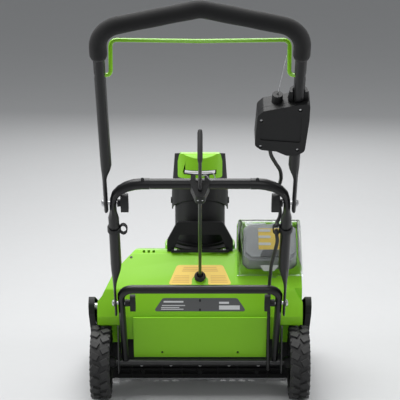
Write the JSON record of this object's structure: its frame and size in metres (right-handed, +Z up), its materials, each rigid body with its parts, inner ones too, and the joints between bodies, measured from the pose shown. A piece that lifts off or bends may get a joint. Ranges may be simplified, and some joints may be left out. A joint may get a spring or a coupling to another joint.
{
  "type": "snow thrower",
  "caption": "Battery snow thrower: rubber auger in a moulded scoop, crank-turned chute, lidded battery bay, two wheels and a folding two-piece handle with bail and switch box.",
  "frame": {"origin": "centre of the bounding box's footprint, on the ground", "axes": "+Z up, +Y forwards (the way the machine clears), +X to the operator's right"},
  "size_m": [0.546, 0.8324, 1.035],
  "materials": {
    "green_plastic": "satin moulded",
    "black_plastic": "fine-grained moulded",
    "auger_rubber": "matt",
    "tyre_rubber": "matt",
    "black_tube": "black powder coat over a light tube",
    "black_steel": "black paint",
    "bright_steel": "zinc-plated",
    "motor_can": "dark paint",
    "pulley_alloy": "cast",
    "green_wire": "gloss paint",
    "foam": "closed-cell foam",
    "battery_grey": "two-tone moulded",
    "smoked_clear": "smoke-tinted clear",
    "cable_jacket": "satin"
  },
  "bodies": {
    "machine": {"main_housing": "green_plastic", "rear_cover": "green_plastic", "auger_housing": "black_plastic", "scraper_bar": "bright_steel", "left_side_cover": "black_plastic", "right_side_cover": "black_plastic", "motor": "motor_can", "controller": "black_plastic", "left_auger_bearing": "bright_steel", "right_auger_bearing": "bright_steel", "drive_belt": "auger_rubber", "chute_base_ring": "black_plastic", "chute_bracket": "black_plastic", "battery_pack": "battery_grey", "battery_terminal_block": "black_plastic", "axle": "bright_steel", "left_axle_plate": "black_steel", "right_axle_plate": "black_steel", "lower_frame": "black_tube", "left_lower_bolt": "bright_steel", "right_lower_bolt": "bright_steel", "rod_boot": "auger_rubber", "lower_cable": "cable_jacket"},
    "auger_rotor": {"auger_shaft": "bright_steel", "left_auger_flight": "auger_rubber", "right_auger_flight": "auger_rubber", "centre_paddle": "auger_rubber", "auger_pulley": "pulley_alloy"},
    "motor_rotor": {"motor_pulley": "bright_steel"},
    "bay_lid": {"battery_lid": "smoked_clear"},
    "left_wheel": {"left_tyre": "tyre_rubber", "left_wheel_hub": "black_plastic"},
    "right_wheel": {"right_tyre": "tyre_rubber", "right_wheel_hub": "black_plastic"},
    "left_lower_clamp": {"left_lower_knob": "black_plastic"},
    "right_lower_clamp": {"right_lower_knob": "black_plastic"},
    "left_upper_clamp": {"left_upper_knob": "black_plastic"},
    "right_upper_clamp": {"right_upper_knob": "black_plastic"},
    "mid_handle": {"left_mid_tube": "black_tube", "right_mid_tube": "black_tube", "cross_tube": "black_tube", "crank_bracket": "black_plastic", "left_cable_clip": "black_plastic", "right_cable_clip": "black_plastic", "left_upper_bolt": "bright_steel", "right_upper_bolt": "bright_steel", "upper_cable": "cable_jacket"},
    "crank": {"crank_rod": "black_steel", "crank_grip": "auger_rubber", "r_clip": "bright_steel"},
    "top_handle": {"upper_handle": "black_tube", "foam_grip": "foam", "switch_box": "black_plastic", "switch_box_cover": "black_plastic", "bail_wire": "bright_steel"},
    "bail_lever": {"bail": "green_wire"},
    "start_switch": {"start_button": "green_plastic"},
    "chute": {"chute_barrel": "black_plastic"},
    "deflector_hood": {"deflector": "black_plastic", "deflector_panel": "green_plastic"}
  },
  "joints": [
    {"name": "left_wheel_spin", "type": "hinge", "parent": "machine", "child": "left_wheel", "pos_m": [-0.24, 0.09475, 0.089], "axis": [1, 0, 0], "continuous": true},
    {"name": "right_wheel_spin", "type": "hinge", "parent": "machine", "child": "right_wheel", "pos_m": [0.24, 0.09475, 0.089], "axis": [1, 0, 0], "continuous": true},
    {"name": "auger_spin", "type": "hinge", "parent": "machine", "child": "auger_rotor", "pos_m": [0, 0.28475, 0.097], "axis": [1, 0, 0], "continuous": true},
    {"name": "motor_spin", "type": "hinge", "parent": "machine", "child": "motor_rotor", "pos_m": [-0.2645, 0.16075, 0.21], "axis": [1, 0, 0], "continuous": true},
    {"name": "bay_lid_hinge", "type": "hinge", "parent": "machine", "child": "bay_lid", "pos_m": [0.17, 0.23934, 0.39942], "axis": [-1, 0, 0], "range_deg": [0, 100]},
    {"name": "chute_turn", "type": "hinge", "parent": "machine", "child": "chute", "pos_m": [0, 0.27475, 0.344], "axis": [0, 0, 1], "range_deg": [-90, 90]},
    {"name": "deflector_tilt", "type": "hinge", "parent": "chute", "child": "deflector_hood", "pos_m": [0, 0.27475, 0.45], "axis": [1, 0, 0], "range_deg": [-25, 15]},
    {"name": "mid_handle_fold", "type": "hinge", "parent": "machine", "child": "mid_handle", "pos_m": [0, -0.00368, 0.27471], "axis": [-1, 0, 0], "range_deg": [-55, 0], "deforming": ["lower_cable"]},
    {"name": "upper_handle_fold", "type": "hinge", "parent": "mid_handle", "child": "top_handle", "pos_m": [0, -0.15438, 0.55813], "axis": [1, 0, 0], "range_deg": [0, 150], "deforming": ["upper_cable"]},
    {"name": "crank_turn", "type": "hinge", "parent": "mid_handle", "child": "crank", "pos_m": [0, -0.19745, 0.5908], "axis": [0, -0.7445, 0.6676], "range_deg": [-675, 675]},
    {"name": "bail_pull", "type": "hinge", "parent": "top_handle", "child": "bail_lever", "pos_m": [0, -0.32151, 0.87246], "axis": [1, 0, 0], "range_deg": [0, 28], "stiffness_Nm_per_rad": 1, "springref_deg": -20.05, "deforming": ["bail_wire"]},
    {"name": "start_press", "type": "slide", "parent": "top_handle", "child": "start_switch", "axis": [0, -0.8829, -0.4695], "range_m": [0, 0.004], "stiffness_N_per_m": 400, "springref_m": -0.001},
    {"name": "left_lower_knob_turn", "type": "hinge", "parent": "machine", "child": "left_lower_clamp", "pos_m": [-0.163, -0.00368, 0.27471], "axis": [1, 0, 0], "continuous": true},
    {"name": "left_upper_knob_turn", "type": "hinge", "parent": "mid_handle", "child": "left_upper_clamp", "pos_m": [-0.169, -0.15438, 0.55813], "axis": [1, 0, 0], "continuous": true},
    {"name": "right_lower_knob_turn", "type": "hinge", "parent": "machine", "child": "right_lower_clamp", "pos_m": [0.163, -0.00368, 0.27471], "axis": [1, 0, 0], "continuous": true},
    {"name": "right_upper_knob_turn", "type": "hinge", "parent": "mid_handle", "child": "right_upper_clamp", "pos_m": [0.169, -0.15438, 0.55813], "axis": [1, 0, 0], "continuous": true}
  ],
  "couplings": [
    {"joint": "motor_spin", "follows": "auger_spin", "ratio": 3.3333},
    {"joint": "crank_turn", "follows": "chute_turn", "ratio": 7.5}
  ]
}
